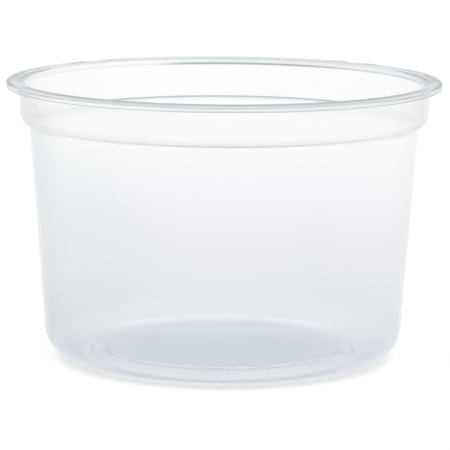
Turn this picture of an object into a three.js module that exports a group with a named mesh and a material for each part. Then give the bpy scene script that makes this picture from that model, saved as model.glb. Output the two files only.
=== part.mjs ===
// A round takeaway tub, formed in one piece from a sheet of translucent polypropylene.
// Millimetres, +Z up. The origin is on the tub's axis, on the plane that it stands on.

import * as THREE from 'three';

// Overall size
const RIM_DIAMETER = 117.5;
const HEIGHT = 75.65;

// Rim: a flange that falls outwards from its crown and turns down into a short lip
const FLANGE_WIDTH = 3.45;
const FLANGE_THICKNESS = 0.9;
const FLANGE_FALL = 0.33;
const CROWN_WIDTH = 0.8;
const LIP_THICKNESS = 0.9;
const LIP_DROP = 0.55;
const LIP_EDGE_RADIUS = 0.6;
const UNDERSIDE_RADIUS = 0.3;
const MOUTH_RADIUS = 2;

// Collar: the wider band under the rim, and the sloping shoulder that it stands on
const COLLAR_HEIGHT = 12.4;
const COLLAR_DRAFT = 0.3;
const SHOULDER_WIDTH = 2.5;
const SHOULDER_RISE = 1.75;
const SHOULDER_RADIUS = 2.7;
const CREASE_RADIUS = 0.3;

// Tapered body, measured at the standing plane as if its heel were sharp
const BASE_DIAMETER = 95.9;
const HEEL_RADIUS = 8.5;

// Base: a standing ring round a panel that is pushed up clear of the table
const STANDING_RING_WIDTH = 11.9;
const PANEL_RISE = 2.6;
const STEP_DRAFT = 1.1;
const STEP_RADIUS = 0.8;

// Thickness of the formed sheet, which is stretched least at the rim and the collar
const RIM_WALL = 1.2;
const COLLAR_WALL = 1.2;
const SIDE_WALL = 0.45;
const HEEL_WALL = 0.45;
const BASE_WALL = 0.55;

// Facets
const RADIAL_SEGMENTS = 72;
const CHORD_TOLERANCE = 0.04;

// Colour of the plastic
const PLASTIC = { color: 0xe6ecf1, roughness: 0.35, metalness: 0, transparent: true, opacity: 0.45 };

// Radii and heights that follow from the sizes above
const rimRadius = RIM_DIAMETER / 2;
const collarTopRadius = rimRadius - FLANGE_WIDTH;
const collarFootRadius = collarTopRadius - COLLAR_DRAFT;
const wallTopRadius = collarFootRadius - SHOULDER_WIDTH;
const crownRadius = collarTopRadius + CROWN_WIDTH;
const baseRadius = BASE_DIAMETER / 2;
const stepFootRadius = baseRadius - STANDING_RING_WIDTH;
const panelRadius = stepFootRadius - STEP_DRAFT;
const lipInnerRadius = rimRadius - LIP_THICKNESS;
const shoulderHeight = HEIGHT - COLLAR_HEIGHT;

// A corner of the half section: its radius and height, its fillet, and the sheet's thickness just below
// and just above it.
function corner(radius, height, fillet = 0, wall = 0, wallAbove = wall) {
  return { point: new THREE.Vector2(radius, height), fillet, wall, wallAbove };
}

// Height of the flange's top face at a radius.
function flangeTop(radius) {
  return HEIGHT - (FLANGE_FALL * (radius - crownRadius)) / (rimRadius - crownRadius);
}

// Height of the flange's underside at a radius.
function flangeUnderside(radius) {
  return flangeTop(radius) - FLANGE_THICKNESS;
}

// Outside face of the tub, from the axis under the panel up to the flange.
function outsideCorners() {
  return [
    corner(0, PANEL_RISE, 0, BASE_WALL),
    corner(panelRadius, PANEL_RISE, STEP_RADIUS, BASE_WALL),
    corner(stepFootRadius, 0, STEP_RADIUS, BASE_WALL),
    corner(baseRadius, 0, HEEL_RADIUS, HEEL_WALL),
    corner(wallTopRadius, shoulderHeight, CREASE_RADIUS, SIDE_WALL, COLLAR_WALL),
    corner(collarFootRadius, shoulderHeight + SHOULDER_RISE, SHOULDER_RADIUS, COLLAR_WALL),
    corner(collarTopRadius, flangeUnderside(collarTopRadius), UNDERSIDE_RADIUS, RIM_WALL),
  ];
}

// Lip and top of the flange, from the lip's inside round to the crown.
function rimCorners() {
  const lipFoot = flangeUnderside(lipInnerRadius) - LIP_DROP;
  return [
    corner(lipInnerRadius, flangeUnderside(lipInnerRadius), UNDERSIDE_RADIUS),
    corner(lipInnerRadius, lipFoot),
    corner(rimRadius, lipFoot),
    corner(rimRadius, flangeTop(rimRadius), LIP_EDGE_RADIUS),
    corner(crownRadius, HEIGHT),
  ];
}

// The inside face of one straight stretch of the sheet: its line moved in by the wall thickness.
function insideLine(from, to) {
  const along = to.point.clone().sub(from.point).normalize();
  const inwards = new THREE.Vector2(-along.y, along.x);
  return {
    start: from.point.clone().addScaledVector(inwards, from.wallAbove),
    end: to.point.clone().addScaledVector(inwards, to.wall),
  };
}

// The point where two lines cross.
function crossing(first, second) {
  const along = first.end.clone().sub(first.start);
  const across = second.end.clone().sub(second.start);
  const offset = second.start.clone().sub(first.start);
  return first.start.clone().addScaledVector(along, offset.cross(across) / along.cross(across));
}

// Which way the outline turns at a corner: 1 to the left, -1 to the right.
function turnAt(before, at, after) {
  const incoming = at.clone().sub(before);
  const outgoing = after.clone().sub(at);
  return Math.sign(incoming.cross(outgoing));
}

// Inside face of the tub, from the mouth down to the axis above the panel.
function insideCorners(outside) {
  const lines = outside.slice(1).map((to, i) => insideLine(outside[i], to));
  const topFace = { start: new THREE.Vector2(0, HEIGHT), end: new THREE.Vector2(rimRadius, HEIGHT) };
  const floor = { point: lines[0].start, fillet: 0, wall: 0 };
  const bends = outside.slice(1, -1).map((bend, i) => {
    const turn = turnAt(outside[i].point, bend.point, outside[i + 2].point);
    const fillet = Math.max(bend.fillet - turn * bend.wall, 0);
    return { point: crossing(lines[i], lines[i + 1]), fillet, wall: 0 };
  });
  const mouth = { point: crossing(lines.at(-1), topFace), fillet: MOUTH_RADIUS, wall: 0 };
  return [floor, ...bends, mouth].reverse();
}

// Half of the angle between the two stretches that meet at a corner.
function halfAngle(corners, i) {
  const back = corners[i - 1].point.clone().sub(corners[i].point);
  const ahead = corners[i + 1].point.clone().sub(corners[i].point);
  return back.angleTo(ahead) / 2;
}

// How far each fillet reaches along its two stretches. Two that meet share the stretch between them.
function fillReach(corners) {
  const wanted = corners.map(({ fillet }, i) => (fillet ? fillet / Math.tan(halfAngle(corners, i)) : 0));
  const share = (i, j) => corners[i].point.distanceTo(corners[j].point) / (wanted[i] + wanted[j]);
  return wanted.map((reach, i) => (reach ? reach * Math.min(1, share(i, i - 1), share(i, i + 1)) : 0));
}

// The arc of one fillet, with chords that stay within the tolerance.
function filletArc(corners, i, reach) {
  const { point } = corners[i];
  if (reach === 0) return [point];
  const half = halfAngle(corners, i);
  const radius = reach * Math.tan(half);
  const back = corners[i - 1].point.clone().sub(point).normalize();
  const ahead = corners[i + 1].point.clone().sub(point).normalize();
  const middle = back.clone().add(ahead).normalize();
  const centre = point.clone().addScaledVector(middle, radius / Math.sin(half));
  const start = point.clone().addScaledVector(back, reach);
  const sweep = Math.PI - 2 * half;
  const chord = 2 * Math.acos(Math.max(1 - CHORD_TOLERANCE / radius, 0));
  const steps = Math.max(1, Math.ceil(sweep / chord));
  const turn = turnAt(corners[i - 1].point, point, corners[i + 1].point);
  const angles = Array.from({ length: steps + 1 }, (_, step) => (turn * sweep * step) / steps);
  return angles.map((angle) => start.clone().rotateAround(centre, angle));
}

// The half section with its corners rounded, from the axis under the panel to the axis above it.
function roundedOutline(corners) {
  const reaches = fillReach(corners);
  return corners.flatMap((_, i) => filletArc(corners, i, reaches[i]));
}

// The tub: its half section turned about the axis.
function makeTub() {
  const outside = outsideCorners();
  const section = [...outside, ...rimCorners(), ...insideCorners(outside)];
  const shell = new THREE.LatheGeometry(roundedOutline(section), RADIAL_SEGMENTS);
  shell.rotateX(Math.PI / 2);
  const tub = new THREE.Mesh(shell, new THREE.MeshStandardMaterial(PLASTIC));
  tub.name = 'tub';
  return tub;
}

const container = new THREE.Group();
container.add(makeTub());

export default container;
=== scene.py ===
"""A round takeaway tub of translucent polypropylene on a pale studio floor."""

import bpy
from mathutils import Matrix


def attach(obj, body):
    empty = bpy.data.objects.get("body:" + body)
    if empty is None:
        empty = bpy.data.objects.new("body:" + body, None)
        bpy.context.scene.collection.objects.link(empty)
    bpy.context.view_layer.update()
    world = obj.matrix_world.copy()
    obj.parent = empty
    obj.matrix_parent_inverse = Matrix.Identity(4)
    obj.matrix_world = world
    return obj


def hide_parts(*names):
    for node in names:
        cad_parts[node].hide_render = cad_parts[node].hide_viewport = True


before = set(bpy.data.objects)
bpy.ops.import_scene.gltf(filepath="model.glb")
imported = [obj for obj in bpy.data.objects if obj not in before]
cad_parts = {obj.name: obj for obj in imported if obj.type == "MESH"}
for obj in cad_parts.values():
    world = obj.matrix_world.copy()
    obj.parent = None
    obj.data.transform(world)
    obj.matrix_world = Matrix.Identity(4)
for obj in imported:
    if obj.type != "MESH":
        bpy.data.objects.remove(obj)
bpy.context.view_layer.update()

import logging
import math
from dataclasses import dataclass
from enum import Enum
from functools import reduce
from operator import mul

import bmesh
import bpy
from mathutils import Euler, Quaternion, Vector

LOG = logging.getLogger("tub_scene")
LIGHT_BOUNCES = 128
SURE_BOUNCES = 16
SAME_PLACE = 1e-6

Colour = tuple[float, float, float]
Span = tuple[float, float]
WHITE: Colour = (1.0, 1.0, 1.0)


class Mixing(Enum):
    """How a second colour goes over a first one."""

    COVER = "MIX"
    # Multiplies, for painted shade
    DIM = "MULTIPLY"


class Shade:
    """A socket of a node tree that can be used in sums as if it were a number."""

    def __init__(self, tree: bpy.types.NodeTree, socket: bpy.types.NodeSocket) -> None:
        """Keeps the tree and the output socket."""
        self.tree = tree
        self.socket = socket

    @classmethod
    def add(
        cls,
        tree: bpy.types.NodeTree,
        kind: str,
        settings: dict[str, object] | None = None,
        inputs: dict[int | str, object] | None = None,
        output: int | str = 0,
    ) -> "Shade":
        """Adds a node, sets it up and feeds it.

        Args:
            tree: The node tree that takes the node.
            kind: The node's type.
            settings: The node's own properties, which are set first.
            inputs: A number, a colour or another Shade for each socket.
            output: The output that the result stands for.

        Returns:
            The node's output.
        """
        node = tree.nodes.new(kind)
        for name, value in (settings or {}).items():
            if name == "stops":
                cls.set_stops(node.color_ramp.elements, value)
            else:
                setattr(node, name, value)
        for key, value in (inputs or {}).items():
            if isinstance(value, Shade):
                tree.links.new(value.socket, node.inputs[key])
            else:
                node.inputs[key].default_value = value
        return cls(tree, node.outputs[output] if len(node.outputs) else None)

    @staticmethod
    def set_stops(
        elements: bpy.types.ColorRampElements, stops: tuple[tuple[float, Colour], ...]
    ) -> None:
        """Gives a ramp these stops.

        Args:
            elements: The ramp's own list, which starts with two stops.
            stops: The place and the colour of each stop, in rising order.
        """
        while len(elements) < len(stops):
            elements.new(1.0)
        for element, (place, colour) in zip(elements, stops):
            element.position = place
            element.color = (*colour, 1.0)

    def math(self, operation: str, *values: object) -> "Shade":
        """Adds a Math node over these values, in the tree of this one."""
        settings = {"operation": operation}
        return Shade.add(self.tree, "ShaderNodeMath", settings, dict(enumerate(values)))

    def __add__(self, other: object) -> "Shade":
        """This plus other."""
        return self.math("ADD", self, other)

    def __radd__(self, other: object) -> "Shade":
        """Other plus this."""
        return self.math("ADD", other, self)

    def __sub__(self, other: object) -> "Shade":
        """This less other."""
        return self.math("SUBTRACT", self, other)

    def __rsub__(self, other: object) -> "Shade":
        """Other less this."""
        return self.math("SUBTRACT", other, self)

    def __mul__(self, other: object) -> "Shade":
        """This times other."""
        return self.math("MULTIPLY", self, other)

    def __rmul__(self, other: object) -> "Shade":
        """Other times this."""
        return self.math("MULTIPLY", other, self)

    def __truediv__(self, other: object) -> "Shade":
        """This over other."""
        return self.math("DIVIDE", self, other)

    def __pow__(self, other: object) -> "Shade":
        """This to the power of other."""
        return self.math("POWER", self, other)

    def __abs__(self) -> "Shade":
        """This without its sign."""
        return self.math("ABSOLUTE", self)

    def clamped(self) -> "Shade":
        """This, kept between 0 and 1."""
        return Shade.add(self.tree, "ShaderNodeClamp", None, {0: self})

    def rise(self, start: float, end: float) -> "Shade":
        """Steps smoothly from 0 to 1.

        Args:
            start: Where the step is 0, which may be the larger of the two.
            end: Where the step is 1.

        Returns:
            The step.
        """
        ends = {0: self, 1: start, 2: end}
        if start > end:
            ends = {0: self, 1: end, 2: start, 3: 1.0, 4: 0.0}
        return Shade.add(
            self.tree, "ShaderNodeMapRange", {"interpolation_type": "SMOOTHSTEP"}, ends
        )

    def blend(self, low: object, high: object, mixing: Mixing = Mixing.COVER) -> "Shade":
        """Mixes two colours.

        Args:
            low: The colour where this is 0.
            high: The colour that goes over it where this is 1.
            mixing: How it goes over.

        Returns:
            The mixed colour.
        """
        ends = [(*end, 1.0) if isinstance(end, tuple) else end for end in (low, high)]
        settings = {"data_type": "RGBA", "blend_type": mixing.value}
        return Shade.add(
            self.tree, "ShaderNodeMix", settings, {0: self, 6: ends[0], 7: ends[1]}, 2
        )


@dataclass(frozen=True)
class Skin:
    """Where each point of the tub's skin lies, as sockets of a material.

    Attributes:
        place: The point, in the tub's own frame.
        x: How far it is to the right of the axis.
        y: How far it is behind the axis.
        z: Its height above the standing plane.
        radius: Its distance from the axis.
        side: From -1 at the left of the tub to 1 at its right.
        near: One in front of the axis and 0 behind it.
        middle: One on the near and far sides and 0 at the left and right ends.
        collar: One on the collar and above it, and 0 on the wall.
        panel_fade: Nought on the near middle of the panel and 1 towards its far edge and its ends.
        cloud: Slow noise, about 0.
    """

    place: Shade
    x: Shade
    y: Shade
    z: Shade
    radius: Shade
    side: Shade
    near: Shade
    middle: Shade
    collar: Shade
    panel_fade: Shade
    cloud: Shade

    @classmethod
    def read(cls, tree: bpy.types.NodeTree, finish: "Plastic") -> "Skin":
        """Reads the skin in a material.

        Args:
            tree: The material's node tree.
            finish: The plastic, whose spans say where one side turns into another.

        Returns:
            The skin's sockets in that tree.
        """
        place = Shade.add(tree, "ShaderNodeTexCoord", output="Object")
        split = Shade.add(tree, "ShaderNodeSeparateXYZ", None, {0: place}).socket.node
        x, y, z = (Shade(tree, output) for output in split.outputs)
        radius = (x * x + y * y) ** 0.5
        side = x / radius
        edge = y.rise(*finish.panel_far_span) + abs(x).rise(*finish.panel_end_span)
        return cls(
            place=place,
            x=x,
            y=y,
            z=z,
            radius=radius,
            side=side,
            near=y.rise(*finish.near_span),
            middle=abs(side).rise(*finish.middle_turn),
            collar=z.rise(*finish.collar_span),
            panel_fade=edge.clamped(),
            cloud=cls.noise(place, finish.cloud_scale, finish.noise_detail) - 0.5,
        )

    @staticmethod
    def noise(place: Shade, scale: float, detail: float) -> Shade:
        """Even noise from 0 to 1, with so many bumps to a metre."""
        inputs = {"Vector": place, "Scale": scale, "Detail": detail}
        return Shade.add(place.tree, "ShaderNodeTexNoise", None, inputs)


@dataclass(frozen=True)
class Zone:
    """A ring of the tub's skin, as a window on radius and height, in metres.

    Attributes:
        soft: How far the window's edges fade.
        inner: Least radius, if there is one.
        outer: Greatest radius, if there is one.
        bottom: Least height, if there is one.
        top: Greatest height, if there is one.
    """

    soft: float
    inner: float | None = None
    outer: float | None = None
    bottom: float | None = None
    top: float | None = None

    def mask(self, skin: Skin) -> Shade:
        """Draws the window on the skin.

        Args:
            skin: Where each point of the skin lies.

        Returns:
            One inside the window and 0 outside it, with soft edges.
        """
        half = self.soft / 2
        edges = []
        for value, least, most in (
            (skin.radius, self.inner, self.outer),
            (skin.z, self.bottom, self.top),
        ):
            if least is not None:
                edges.append(value.rise(least - half, least + half))
            if most is not None:
                edges.append(value.rise(most + half, most - half))
        return reduce(mul, edges)


@dataclass(frozen=True)
class Plastic:
    """Translucent polypropylene, clear and frosted, with a bluer base, painted shade and
    highlights.

    A span says where a change starts and where it is complete: along x, y or z or by radius, in
    metres, or, where its name ends in turn, from -1 at the left of the tub to 1 at its right.
    """

    name: str = "translucent_polypropylene"

    # What the sheet lets through, by height in shares of the tub's own, with painted shade low
    # down, and ring by ring
    wall_stops: tuple[tuple[float, Colour], ...] = (
        (0.08, (0.875, 0.893, 0.917)),
        (0.33, (0.905, 0.914, 0.936)),
        (0.58, (0.949, 0.952, 0.967)),
        (0.82, (0.987, 0.988, 0.993)),
        (0.88, WHITE),
    )
    # The panel's own bluer tint, partly painted shade, greyer towards its far edge and ends, with
    # painted light round its edge
    panel_tint_and_shade_colour: Colour = (0.815, 0.88, 0.95)
    panel_far_shade_colour: Colour = (0.805, 0.85, 0.90)
    panel_edge_light_colour: Colour = (0.95, 0.975, 1.0)
    # Painted highlights over the panel's far edge and low on the far heel
    panel_shine_colour: Colour = WHITE
    heel_shine_colour: Colour = WHITE
    # Painted shadow on the near standing ring
    ring_shadow_colour: Colour = (0.74, 0.775, 0.825)
    step_colour: Colour = (0.85, 0.865, 0.89)
    # Painted shade lines at the shoulder, the fold and the mouth's foot
    shoulder_shade_line_colour: Colour = (0.61, 0.62, 0.635)
    fold_shade_colour: Colour = (0.32, 0.36, 0.37)
    mouth_shade_line_colour: Colour = (0.20, 0.25, 0.29)
    # Painted shade over the mouth, the crown, the flange and the lip, changing towards their ends,
    # with painted shade lines under the crown and at the lip's foot
    mouth_shade_colour: Colour = (0.82, 0.87, 0.90)
    mouth_left_light_colour: Colour = (0.94, 0.96, 0.97)
    crown_shade_colour: Colour = (0.82, 0.86, 0.88)
    crown_end_shade_colour: Colour = (0.93, 0.95, 0.97)
    crown_shade_line_colour: Colour = (0.62, 0.65, 0.67)
    flange_shade_colour: Colour = (0.51, 0.56, 0.58)
    flange_end_shade_colour: Colour = (0.70, 0.75, 0.79)
    lip_colour: Colour = (1.0, 0.985, 0.955)
    lip_end_shade_colour: Colour = (0.68, 0.71, 0.74)
    lip_foot_shade_colour: Colour = (0.31, 0.32, 0.325)

    # Where the sides, the collar and the wall's foot begin
    near_span: Span = (0.015, -0.015)
    middle_turn: Span = (0.95, 0.65)
    collar_span: Span = (0.0625, 0.0655)
    foot_span: Span = (0.0035, 0.0060)

    # How the painted shade and painted highlights change from side to side
    panel_far_span: Span = (-0.005, 0.036)
    panel_end_span: Span = (0.018, 0.040)
    panel_shine_span: Span = (0.0, 0.015)
    heel_shine_span: Span = (0.028, 0.038)
    ring_middle_loss: float = 0.4
    mouth_left_span: Span = (-0.030, 0.0)
    mouth_line_least: float = 0.2
    mouth_line_gain: float = 0.8
    mouth_line_gain_span: Span = (-0.022, -0.010)
    mouth_line_right_loss: float = 0.4
    mouth_line_right_span: Span = (0.020, 0.040)
    mouth_line_near_loss: float = 0.65

    # Faint painted shade over the rest: the left of the wall, its two limbs, the collar's left, the
    # foot
    left_shade_tint: Colour = (0.970, 0.982, 0.979)
    left_shade_span: Span = (-0.002, -0.045)
    left_shade_top_span: Span = (0.068, 0.052)
    left_shade_wander: float = 0.02
    limb_shade_tint: Colour = (0.90, 0.915, 0.925)
    limb_left_turn: Span = (-0.86, -1.0)
    limb_right_turn: Span = (0.90, 1.0)
    limb_right_share: float = 0.5
    limb_radius_span: Span = (0.037, 0.041)
    flank_turn: Span = (-0.80, -1.0)
    flank_top_span: Span = (0.074, 0.072)
    flank_near_span: Span = (0.008, -0.008)
    low_shade_tint: Colour = (0.965, 0.967, 0.975)
    low_turn: Span = (0.40, 0.75)
    low_top_span: Span = (0.020, 0.010)

    # Frost and grain
    roughness: float = 0.07
    roughness_spread: float = 0.03
    collar_roughness: float = 0.08
    panel_roughness: float = 0.15
    margin_roughness: float = 0.72
    margin_span: Span = (0.034, 0.027)
    rim_polish: float = 0.05
    rim_fade: float = 0.0005
    cloud_scale: float = 28.0
    grain_scale: float = 350.0
    noise_detail: float = 2.0
    grain_strength: float = 0.02
    grain_depth: float = 0.0001
    transmission: float = 1.0
    ior: float = 1.49

    def make(self, tub: "TubShell") -> bpy.types.Material:
        """Builds the node material.

        Args:
            tub: The tub, whose sizes place the zones of the finish.

        Returns:
            The finished material.
        """
        material = bpy.data.materials.new(self.name)
        material.use_nodes = True
        tree = material.node_tree
        tree.nodes.clear()
        skin = Skin.read(tree, self)
        colour = Shade.add(
            tree, "ShaderNodeValToRGB", {"stops": self.wall_stops}, {0: skin.z * (1.0 / tub.height)}
        )
        colour = self.paint_rings(colour, skin, tub)
        colour = self.paint_lines(colour, skin, tub)
        colour = self.paint_shade(colour, skin)
        grain = {
            "Strength": self.grain_strength,
            "Distance": self.grain_depth,
            "Height": Skin.noise(skin.place, self.grain_scale, self.noise_detail),
        }
        film = {
            "Base Color": colour,
            "Roughness": self.frost(skin, tub),
            "Normal": Shade.add(tree, "ShaderNodeBump", None, grain),
            "IOR": self.ior,
            "Transmission Weight": self.transmission,
        }
        surface = Shade.add(tree, "ShaderNodeBsdfPrincipled", None, film)
        Shade.add(tree, "ShaderNodeOutputMaterial", None, {"Surface": surface})
        return material

    def paint_rings(self, colour: Shade, skin: Skin, tub: "TubShell") -> Shade:
        """Paints the rings of the base and the rim that go all the way round, as painted shade and
        painted light over the base's own bluer tint.

        Args:
            colour: The wall's own colour.
            skin: Where each point of the skin lies.
            tub: The tub, whose sizes place the rings.

        Returns:
            The colour with the rings on it.
        """
        middle = skin.middle
        left = skin.x.rise(*self.mouth_left_span)
        for zone, tint in (
            # Painted light round the panel's edge, and the panel's bluer tint, partly painted shade
            (tub.panel_zone(), self.panel_edge_light_colour),
            (
                tub.panel_middle_zone(),
                skin.panel_fade.blend(self.panel_tint_and_shade_colour, self.panel_far_shade_colour),
            ),
            (tub.step_zone(), self.step_colour),
            # Painted shade over the mouth, the crown, the flange and the lip, with painted shade
            # lines
            (tub.mouth_zone(), left.blend(self.mouth_left_light_colour, self.mouth_shade_colour)),
            (tub.crown_zone(), middle.blend(self.crown_end_shade_colour, self.crown_shade_colour)),
            (tub.crown_line_zone(), middle.blend(self.crown_end_shade_colour, self.crown_shade_line_colour)),
            (tub.flange_zone(), middle.blend(self.flange_end_shade_colour, self.flange_shade_colour)),
            (tub.lip_zone(), middle.blend(self.lip_end_shade_colour, self.lip_colour)),
            (tub.lip_foot_zone(), self.lip_foot_shade_colour),
        ):
            colour = zone.mask(skin).blend(colour, tint)
        return colour

    def paint_lines(self, colour: Shade, skin: Skin, tub: "TubShell") -> Shade:
        """Paints shade lines, a shadow on the standing ring and highlights that go part of the way
        round.

        Args:
            colour: The colour that they go on.
            skin: Where each point of the skin lies.
            tub: The tub, whose sizes place the lines.

        Returns:
            The colour with the lines on it.
        """
        near, middle = skin.near, skin.middle
        gain = self.mouth_line_gain * skin.x.rise(*self.mouth_line_gain_span)
        loss = self.mouth_line_right_loss * skin.x.rise(*self.mouth_line_right_span)
        bold = (self.mouth_line_least + gain - loss) * (1.0 - self.mouth_line_near_loss * near)
        for zone, tint, share in (
            # A painted shadow on the near standing ring and a painted highlight on the far heel
            (tub.ring_zone(), self.ring_shadow_colour, near * (1.0 - self.ring_middle_loss * middle)),
            (tub.heel_shine_zone(), self.heel_shine_colour, skin.y.rise(*self.heel_shine_span)),
            # Painted shade lines at the shoulder, the fold and the mouth's foot
            (tub.shoulder_line_zone(), self.shoulder_shade_line_colour, near * middle),
            (tub.fold_zone(), self.fold_shade_colour, (1.0 - near) * middle),
            (tub.mouth_line_zone(), self.mouth_shade_line_colour, bold),
            # A painted highlight over the panel's far edge
            (tub.panel_shine_zone(), self.panel_shine_colour, skin.y.rise(*self.panel_shine_span)),
        ):
            colour = (zone.mask(skin) * share).blend(colour, tint)
        return colour

    def paint_shade(self, colour: Shade, skin: Skin) -> Shade:
        """Paints shade on the wall's left, its two limbs, the collar's left and the sides of its
        foot.

        Args:
            colour: The colour that the painted shade goes on.
            skin: Where each point of the skin lies.

        Returns:
            The colour with the painted shade.
        """
        foot = skin.z.rise(*self.foot_span)
        wander = skin.x + skin.cloud * self.left_shade_wander
        left_shade = wander.rise(*self.left_shade_span) * skin.z.rise(*self.left_shade_top_span) * foot
        limb = skin.side.rise(*self.limb_left_turn)
        limb = limb + self.limb_right_share * skin.side.rise(*self.limb_right_turn)
        limb = limb * (1.0 - skin.collar) * skin.radius.rise(*self.limb_radius_span)
        flank = skin.side.rise(*self.flank_turn) * skin.collar
        flank = flank * skin.z.rise(*self.flank_top_span) * skin.y.rise(*self.flank_near_span)
        low = abs(skin.side).rise(*self.low_turn) * skin.z.rise(*self.low_top_span) * foot
        for mask, tint in (
            (left_shade, self.left_shade_tint),
            (limb + flank, self.limb_shade_tint),
            (low, self.low_shade_tint),
        ):
            colour = mask.blend(colour, tint, Mixing.DIM)
        return colour

    def frost(self, skin: Skin, tub: "TubShell") -> Shade:
        """Frosts the collar, the panel and the underside of the panel's near margin.

        Args:
            skin: Where each point of the skin lies.
            tub: The tub, whose sizes place the frost.

        Returns:
            The roughness.
        """
        rim = skin.z.rise(tub.mouth_foot, tub.mouth_foot + self.rim_fade)
        haze = skin.collar * (1.0 - rim) * self.collar_roughness - rim * self.rim_polish
        panel = tub.panel_zone().mask(skin) * (1.0 - skin.panel_fade) * self.panel_roughness
        front = skin.near * abs(skin.x).rise(*self.margin_span)
        margin = tub.panel_margin_zone().mask(skin) * front * self.margin_roughness
        return self.roughness + skin.cloud * self.roughness_spread + haze + (panel + margin)


@dataclass(frozen=True)
class Corner:
    """A corner of the tub's half section, in metres.

    Attributes:
        radius: Distance from the axis.
        height: Height above the standing plane.
        fillet: Radius that rounds the corner.
        flats: Flats that the fillet is made of.
        wall: Thickness of the sheet just before the corner.
        wall_after: Thickness of the sheet just after it, if that is another.
        inside_fillet: Radius on the sheet's other side, if not in step with this one.
    """

    radius: float
    height: float
    fillet: float = 0.0
    flats: int = 1
    wall: float = 0.0
    wall_after: float | None = None
    inside_fillet: float | None = None

    @property
    def point(self) -> Vector:
        """The corner as a vector of radius and height."""
        return Vector((self.radius, self.height))


def cross(first: Vector, second: Vector) -> float:
    """The cross product of two flat vectors."""
    return first.x * second.y - first.y * second.x


def crossing(first: tuple[Vector, Vector], second: tuple[Vector, Vector]) -> Vector:
    """Finds where two lines cross.

    Args:
        first: Two points of one line.
        second: Two points of the other.

    Returns:
        The point that the lines share.
    """
    along = first[1] - first[0]
    over = second[1] - second[0]
    return first[0] + along * (cross(second[0] - first[0], over) / cross(along, over))


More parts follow.
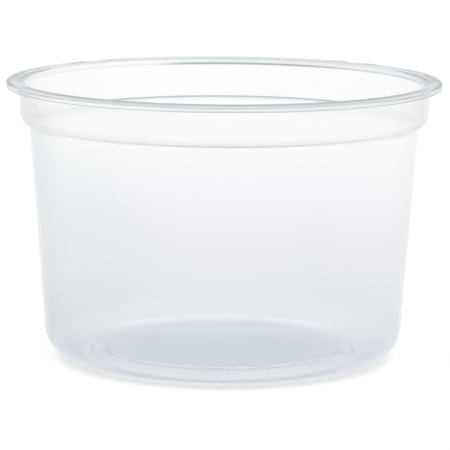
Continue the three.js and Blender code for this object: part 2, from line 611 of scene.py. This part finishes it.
@dataclass(frozen=True)
class TubShell:
    """The tub, one formed sheet: rim, collar, shoulder, tapered wall, heel and raised panel."""

    rim_diameter: float = 0.1175
    height: float = 0.07565
    flange_width: float = 0.00345
    flange_thickness: float = 0.0006
    flange_fall: float = 0.00033
    crown_width: float = 0.0008
    lip_thickness: float = 0.0009
    lip_drop: float = 0.00103
    lip_edge_radius: float = 0.0006
    lip_edge_flats: int = 8
    lip_foot_radius: float = 0.00015
    lip_foot_flats: int = 4
    underside_radius: float = 0.0003
    underside_flats: int = 6
    mouth_radius: float = 0.002
    mouth_flats: int = 14
    collar_height: float = 0.0124
    collar_draft: float = 0.0003
    shoulder_width: float = 0.0025
    shoulder_rise: float = 0.00175
    shoulder_radius: float = 0.0027
    shoulder_flats: int = 12
    crease_radius: float = 0.0003
    crease_flats: int = 8
    fold_radius: float = 0.0003
    base_diameter: float = 0.0959
    heel_radius: float = 0.0085
    heel_flats: int = 18
    standing_ring_width: float = 0.0119
    panel_rise: float = 0.0026
    step_draft: float = 0.0011
    step_radius: float = 0.0008
    step_flats: int = 9
    rim_wall: float = 0.0012
    collar_wall: float = 0.0012
    side_wall: float = 0.00045
    heel_wall: float = 0.00045
    base_wall: float = 0.00055
    facets: int = 360
    smooth_angle: float = math.radians(35.0)

    # A height clear of the panel, and the fold's place among the inside corners
    over_panel: float = 0.0042
    fold_place: int = 2

    @property
    def rim_radius(self) -> float:
        """Radius of the lip's outside."""
        return self.rim_diameter / 2

    @property
    def lip_radius(self) -> float:
        """Radius of the lip's inside."""
        return self.rim_radius - self.lip_thickness

    @property
    def lip_foot(self) -> float:
        """Height of the lip's lower edge."""
        return self.flange_underside(self.lip_radius) - self.lip_drop

    @property
    def collar_radius(self) -> float:
        """Outside radius of the collar where it meets the flange."""
        return self.rim_radius - self.flange_width

    @property
    def collar_foot_radius(self) -> float:
        """Outside radius of the collar where it meets the shoulder."""
        return self.collar_radius - self.collar_draft

    @property
    def crown_radius(self) -> float:
        """Radius of the rim's highest ring."""
        return self.collar_radius + self.crown_width

    @property
    def mouth_foot(self) -> float:
        """Height where the mouth's round runs into the collar."""
        return self.height - self.mouth_radius

    @property
    def crease_height(self) -> float:
        """Height where the wall meets the shoulder."""
        return self.height - self.collar_height

    @property
    def base_radius(self) -> float:
        """Radius of the base, as if its heel were sharp."""
        return self.base_diameter / 2

    @property
    def step_foot_radius(self) -> float:
        """Radius where the panel's step meets the standing ring."""
        return self.base_radius - self.standing_ring_width

    @property
    def panel_radius(self) -> float:
        """Radius of the raised panel's edge."""
        return self.step_foot_radius - self.step_draft

    def flange_top(self, radius: float) -> float:
        """Height of the flange's top face at a radius."""
        run = self.rim_radius - self.crown_radius
        return self.height - self.flange_fall * (radius - self.crown_radius) / run

    def flange_underside(self, radius: float) -> float:
        """Height of the flange's underside at a radius."""
        return self.flange_top(radius) - self.flange_thickness

    def outside(self) -> list[Corner]:
        """Sets out the outside face.

        Returns:
            Its corners, from the panel's middle up to the flange.
        """
        return [
            Corner(0.0, self.panel_rise, wall=self.base_wall),
            Corner(
                self.panel_radius,
                self.panel_rise,
                self.step_radius,
                self.step_flats,
                self.base_wall,
            ),
            Corner(self.step_foot_radius, 0.0, self.step_radius, self.step_flats, self.base_wall),
            Corner(self.base_radius, 0.0, self.heel_radius, self.heel_flats, self.heel_wall),
            Corner(
                self.collar_foot_radius - self.shoulder_width,
                self.crease_height,
                self.crease_radius,
                self.crease_flats,
                self.side_wall,
                self.collar_wall,
                self.fold_radius,
            ),
            Corner(
                self.collar_foot_radius,
                self.crease_height + self.shoulder_rise,
                self.shoulder_radius,
                self.shoulder_flats,
                self.collar_wall,
            ),
            Corner(
                self.collar_radius,
                self.flange_underside(self.collar_radius),
                self.underside_radius,
                self.underside_flats,
                self.rim_wall,
            ),
        ]

    def edge(self) -> list[Corner]:
        """Sets out the lip and the flange's top.

        Returns:
            Their corners, from the lip's inside to the crown.
        """
        under = self.flange_underside(self.lip_radius)
        top = self.flange_top(self.rim_radius)
        return [
            Corner(self.lip_radius, under, self.underside_radius, self.underside_flats),
            Corner(self.lip_radius, self.lip_foot, self.lip_foot_radius, self.lip_foot_flats),
            Corner(self.rim_radius, self.lip_foot, self.lip_foot_radius, self.lip_foot_flats),
            Corner(self.rim_radius, top, self.lip_edge_radius, self.lip_edge_flats),
            Corner(self.crown_radius, self.height),
        ]

    def inside(self) -> list[Corner]:
        """Sets out the inside face: the outside moved in by the sheet's thickness.

        Returns:
            Its corners, from the mouth down to the panel's middle.
        """
        skin = self.outside()
        lines = []
        for here, ahead in zip(skin, skin[1:]):
            along = (ahead.point - here.point).normalized()
            inwards = Vector((-along.y, along.x))
            start = here.wall if here.wall_after is None else here.wall_after
            lines.append((here.point + inwards * start, ahead.point + inwards * ahead.wall))
        level = (Vector((0.0, self.height)), Vector((self.rim_radius, self.height)))
        found = [Corner(0.0, lines[0][0].y)]
        for bend, before, after in zip(skin[1:], lines, lines[1:]):
            turn = math.copysign(1.0, cross(before[1] - before[0], after[1] - after[0]))
            spot = crossing(before, after)
            fillet = bend.inside_fillet
            if fillet is None:
                fillet = max(bend.fillet - turn * bend.wall, 0.0)
            found.append(Corner(spot.x, spot.y, fillet, bend.flats))
        mouth = crossing(lines[-1], level)
        found.append(Corner(mouth.x, mouth.y, self.mouth_radius, self.mouth_flats))
        return found[::-1]

    def corners(self) -> list[Corner]:
        """All corners of the half section, from under the panel round to its top."""
        return [*self.outside(), *self.edge(), *self.inside()]

    def panel_zone(self) -> Zone:
        """The raised panel of the base."""
        return Zone(soft=0.0004, outer=self.panel_radius + 0.0006, top=self.over_panel)

    def panel_middle_zone(self) -> Zone:
        """The raised panel without its margin."""
        return Zone(soft=0.0024, outer=self.panel_radius - 0.0022, top=self.over_panel)

    def panel_margin_zone(self) -> Zone:
        """The underside of the raised panel's margin."""
        return Zone(
            soft=0.0003,
            inner=self.panel_radius - 0.0030,
            outer=self.panel_radius - 0.0003,
            bottom=self.panel_rise - 0.0002,
            top=self.panel_rise + 0.00025,
        )

    def panel_shine_zone(self) -> Zone:
        """A wide ring about the raised panel's edge, which takes a painted highlight on the far
        side.
        """
        return Zone(
            soft=0.0036,
            inner=self.panel_radius - 0.0050,
            outer=self.panel_radius + 0.0020,
            top=self.over_panel,
        )

    def step_zone(self) -> Zone:
        """The round edge of the panel and its step."""
        return Zone(
            soft=0.0004,
            inner=self.panel_radius - 0.0002,
            outer=self.panel_radius + 0.0014,
            top=self.panel_rise + 0.0001,
        )

    def ring_zone(self) -> Zone:
        """The standing ring."""
        return Zone(
            soft=0.0016,
            inner=self.panel_radius + 0.0034,
            outer=self.base_radius + 0.0020,
            top=0.0022,
        )

    def heel_shine_zone(self) -> Zone:
        """A thin ring low on the heel, which shows over the panel's far edge."""
        return Zone(
            soft=0.0004,
            inner=self.base_radius - 0.00945,
            outer=self.base_radius - 0.00045,
            bottom=0.0006,
            top=0.00155,
        )

    def fold_zone(self) -> Zone:
        """The fold where the inside of the wall meets the shoulder."""
        fold = self.inside()[self.fold_place]
        return Zone(
            soft=0.0001,
            inner=fold.radius - 0.0003,
            outer=fold.radius + 0.0003,
            bottom=fold.height - 0.00016,
            top=fold.height + 0.00026,
        )

    def shoulder_line_zone(self) -> Zone:
        """The painted shade line on the outside, where the shoulder turns up into the collar."""
        turn = self.crease_height + self.shoulder_rise
        return Zone(
            soft=0.0003,
            inner=self.collar_foot_radius - 0.0010,
            outer=self.collar_foot_radius - 0.0004,
            bottom=turn - 0.00055,
            top=turn - 0.00012,
        )

    def mouth_line_zone(self) -> Zone:
        """The painted shade line where the mouth's round runs into the collar."""
        inside = self.collar_radius - self.rim_wall
        return Zone(
            soft=0.0002,
            inner=inside - 0.0003,
            outer=inside + 0.0004,
            bottom=self.mouth_foot - 0.0002,
            top=self.mouth_foot + 0.0004,
        )

    def mouth_zone(self) -> Zone:
        """The round of the mouth."""
        return Zone(soft=0.0004, outer=self.crown_radius, bottom=self.mouth_foot + 0.0004)

    def crown_zone(self) -> Zone:
        """The top of the mouth's round."""
        return Zone(soft=0.0002, outer=self.crown_radius, bottom=self.height - 0.0005)

    def crown_line_zone(self) -> Zone:
        """The painted shade line under the top of the mouth's round."""
        return Zone(
            soft=0.0001,
            outer=self.crown_radius,
            bottom=self.height - 0.00075,
            top=self.height - 0.0005,
        )

    def flange_zone(self) -> Zone:
        """The flange's top face."""
        return Zone(
            soft=0.0003,
            inner=self.crown_radius,
            outer=self.rim_radius - 0.0007,
            bottom=self.height - 0.0008,
        )

    def lip_zone(self) -> Zone:
        """The lip's outside."""
        return Zone(soft=0.0003, inner=self.rim_radius - 0.0006)

    def lip_foot_zone(self) -> Zone:
        """The lip's lower edge."""
        return Zone(soft=0.0001, inner=self.rim_radius - 0.0005, top=self.lip_foot + 0.0002)

    def build(self) -> bpy.types.Object:
        """Models the tub: its rings drawn up one from another, and then rounded.

        Returns:
            The mesh object, at the origin.
        """
        section = self.corners()
        rings = section[1:-1]
        bpy.ops.object.select_all(action="DESELECT")
        bpy.ops.mesh.primitive_circle_add(
            vertices=self.facets,
            radius=rings[0].radius,
            fill_type="NGON",
            location=(0.0, 0.0, rings[0].height),
        )
        shell = bpy.context.object
        shell.name = "tub_shell"
        bpy.ops.object.transform_apply(location=True, rotation=True, scale=True)
        bpy.ops.object.mode_set(mode="EDIT")
        bpy.ops.mesh.select_all(action="SELECT")
        for here, ahead in zip(rings, rings[1:]):
            step = (0.0, 0.0, ahead.height - here.height)
            bpy.ops.mesh.extrude_region_move(TRANSFORM_OT_translate={"value": step})
            scale = ahead.radius / here.radius
            bpy.ops.transform.resize(
                value=(scale, scale, 1.0), center_override=(0.0, 0.0, ahead.height)
            )
        for number, ring in enumerate(section):
            if ring.fillet > 0.0:
                self.round_ring(shell, ring, self.reach(section, number))
        bpy.ops.mesh.select_all(action="SELECT")
        bpy.ops.mesh.remove_doubles(threshold=SAME_PLACE)
        bpy.ops.mesh.normals_make_consistent(inside=False)
        bpy.ops.object.mode_set(mode="OBJECT")
        bpy.ops.object.shade_smooth_by_angle(angle=self.smooth_angle)
        return shell

    @staticmethod
    def reach(section: list[Corner], number: int) -> float:
        """How far a corner's fillet goes along the two stretches that meet there.

        Args:
            section: The corners of the half section.
            number: The place of the corner among them.

        Returns:
            The distance from the sharp corner to the fillet's ends.
        """
        here = section[number].point
        back = section[number - 1].point - here
        ahead = section[number + 1].point - here
        return section[number].fillet / math.tan(back.angle(ahead) / 2)

    @staticmethod
    def round_ring(shell: bpy.types.Object, ring: Corner, reach: float) -> None:
        """Rounds one ring of edges.

        Args:
            shell: The tub's mesh object, in edit mode.
            ring: The corner whose ring of edges is rounded.
            reach: How far the round goes along the faces on both sides.
        """
        bpy.ops.mesh.select_mode(type="EDGE")
        bpy.ops.mesh.select_all(action="DESELECT")
        mesh = bmesh.from_edit_mesh(shell.data)
        for edge in mesh.edges:
            ends = [Vector((end.co.xy.length, end.co.z)) for end in edge.verts]
            edge.select_set(all((end - ring.point).length < SAME_PLACE for end in ends))
        bmesh.update_edit_mesh(shell.data)
        bpy.ops.mesh.bevel(
            offset=reach,
            offset_type="OFFSET",
            segments=ring.flats,
            profile=0.5,
            affect="EDGES",
            clamp_overlap=False,
        )

    def dress(self, shell: bpy.types.Object, finish: Plastic) -> None:
        """Gives the shell its plastic and its place in the frame.

        Args:
            shell: The tub's mesh object.
            finish: The plastic that it is made of.
        """
        shell.data.materials.clear()
        shell.data.materials.append(finish.make(self))
        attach(shell, "root")
        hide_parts("tub")


class Ray(Enum):
    """How the eye comes to see the floor or the room: straight, by a mirror or through glass."""

    STRAIGHT = "Is Camera Ray"
    MIRRORED = "Is Glossy Ray"
    PASSED = "Is Transmission Ray"

    @classmethod
    def masks(cls, tree: bpy.types.NodeTree) -> dict["Ray", Shade]:
        """One mask for each kind of ray, from one node of the tree."""
        path = Shade.add(tree, "ShaderNodeLightPath").socket.node
        return {kind: Shade(tree, path.outputs[kind.value]) for kind in cls}


@dataclass(frozen=True)
class Lamp:
    """A soft square lamp that is aimed at the tub."""

    name: str
    place: tuple[float, float, float]
    size: float
    power: float
    colour: Colour = WHITE
    aim: tuple[float, float, float] = (0.0, 0.0, 0.04)

    def light(self) -> None:
        """Adds the lamp to the scene."""
        turn = (Vector(self.aim) - Vector(self.place)).to_track_quat("-Z", "Y").to_euler()
        bpy.ops.object.light_add(type="AREA", location=self.place, rotation=turn)
        lamp = bpy.context.object
        lamp.name = self.name
        lamp.data.size = self.size
        lamp.data.energy = self.power
        lamp.data.color = self.colour


@dataclass(frozen=True)
class Studio:
    """The pale floor, the soft light and the camera."""

    floor_size: float = 12.0
    floor_gap: float = 0.0001
    floor_colour: Colour = (0.82, 0.82, 0.82)
    floor_shadow: float = 0.22
    floor_white: float = 1.111
    contact_reach: float = 0.0024
    contact_shade: float = 0.22
    room_light: float = 0.9
    mirror_colour: Colour = (0.76, 0.81, 0.845)
    camera_place: tuple[float, float, float] = (0.00044, -0.788, 0.1677)
    look_height: float = 0.03558
    roll: float = 0.007
    lens: float = 235.04
    sensor: float = 36.0
    clip_start: float = 0.01
    clip_end: float = 50.0
    lamps: tuple[Lamp, ...] = (
        Lamp("key", (0.9, -0.9, 1.3), 2.2, 5.0),
        Lamp("fill", (-1.3, -0.4, 0.9), 1.8, 2.0, (0.92, 0.96, 1.0)),
    )

    def lay_floor(self) -> bpy.types.Object:
        """Adds the floor, which is white to the eye and keeps the tub's shadow.

        Returns:
            The floor's object.
        """
        bpy.ops.object.select_all(action="DESELECT")
        bpy.ops.mesh.primitive_plane_add(size=self.floor_size, location=(0.0, 0.0, -self.floor_gap))
        floor = bpy.context.object
        floor.name = "floor"
        material = bpy.data.materials.new("pale_floor")
        material.use_nodes = True
        tree = material.node_tree
        tree.nodes.clear()
        matt = Shade.add(tree, "ShaderNodeBsdfDiffuse", None, {"Color": (*self.floor_colour, 1.0)})
        rays = Ray.masks(tree)
        seen = rays[Ray.STRAIGHT]
        contact = Shade.add(
            tree, "ShaderNodeAmbientOcclusion", None, {"Distance": self.contact_reach}, "AO"
        )
        touched = (self.floor_white - self.contact_shade,) * 3
        tone = seen.blend(WHITE, contact.blend(touched, (self.floor_white,) * 3))
        white = Shade.add(tree, "ShaderNodeEmission", None, {"Color": tone})
        share = seen * (1.0 - self.floor_shadow) + rays[Ray.MIRRORED] + rays[Ray.PASSED]
        ground = Shade.add(
            tree, "ShaderNodeMixShader", None, {0: share.clamped(), 1: matt, 2: white}
        )
        Shade.add(tree, "ShaderNodeOutputMaterial", None, {"Surface": ground})
        floor.data.materials.append(material)
        return floor

    def light(self) -> None:
        """Sets the room's even light and adds the lamps."""
        world = bpy.data.worlds.new("room")
        world.use_nodes = True
        bpy.context.scene.world = world
        tree = world.node_tree
        tree.nodes.clear()
        rays = Ray.masks(tree)
        shown = (rays[Ray.STRAIGHT] + rays[Ray.PASSED]).clamped()
        mirrored = rays[Ray.MIRRORED] * (1.0 - rays[Ray.PASSED])
        strength = self.room_light + shown * (1.0 - self.room_light)
        tone = mirrored.blend(WHITE, self.mirror_colour)
        glow = Shade.add(tree, "ShaderNodeBackground", None, {"Color": tone, "Strength": strength})
        Shade.add(tree, "ShaderNodeOutputWorld", None, {"Surface": glow})
        for lamp in self.lamps:
            lamp.light()

    def aim_camera(self) -> bpy.types.Object:
        """Adds the camera at the photograph's viewing angle.

        Returns:
            The camera's object.
        """
        fall = math.atan2(self.camera_place[2] - self.look_height, -self.camera_place[1])
        pitch = Euler((math.pi / 2 - fall, 0.0, 0.0)).to_quaternion()
        turn = pitch @ Quaternion((0.0, 0.0, 1.0), self.roll)
        bpy.ops.object.camera_add(location=self.camera_place, rotation=turn.to_euler())
        camera = bpy.context.object
        camera.name = "camera"
        camera.data.sensor_width = self.sensor
        camera.data.lens = self.lens
        camera.data.clip_start = self.clip_start
        camera.data.clip_end = self.clip_end
        bpy.context.scene.camera = camera
        return camera


def main() -> None:
    """Builds the studio and the tub, and reports each piece."""
    logging.basicConfig(level=logging.INFO, format="%(name)s: %(message)s")
    scene = bpy.context.scene
    scene.view_settings.view_transform = "Standard"
    scene.cycles.max_bounces = LIGHT_BOUNCES
    scene.cycles.glossy_bounces = LIGHT_BOUNCES
    scene.cycles.transmission_bounces = LIGHT_BOUNCES
    scene.cycles.min_light_bounces = SURE_BOUNCES
    studio = Studio()
    camera = studio.aim_camera()
    floor = studio.lay_floor()
    studio.light()
    LOG.info("studio: %s, %s and %d lamps", camera.name, floor.name, len(studio.lamps))
    tub = TubShell()
    shell = tub.build()
    tub.dress(shell, Plastic())
    LOG.info("%s: %d faces", shell.name, len(shell.data.polygons))


if __name__ == "__main__":
    main()
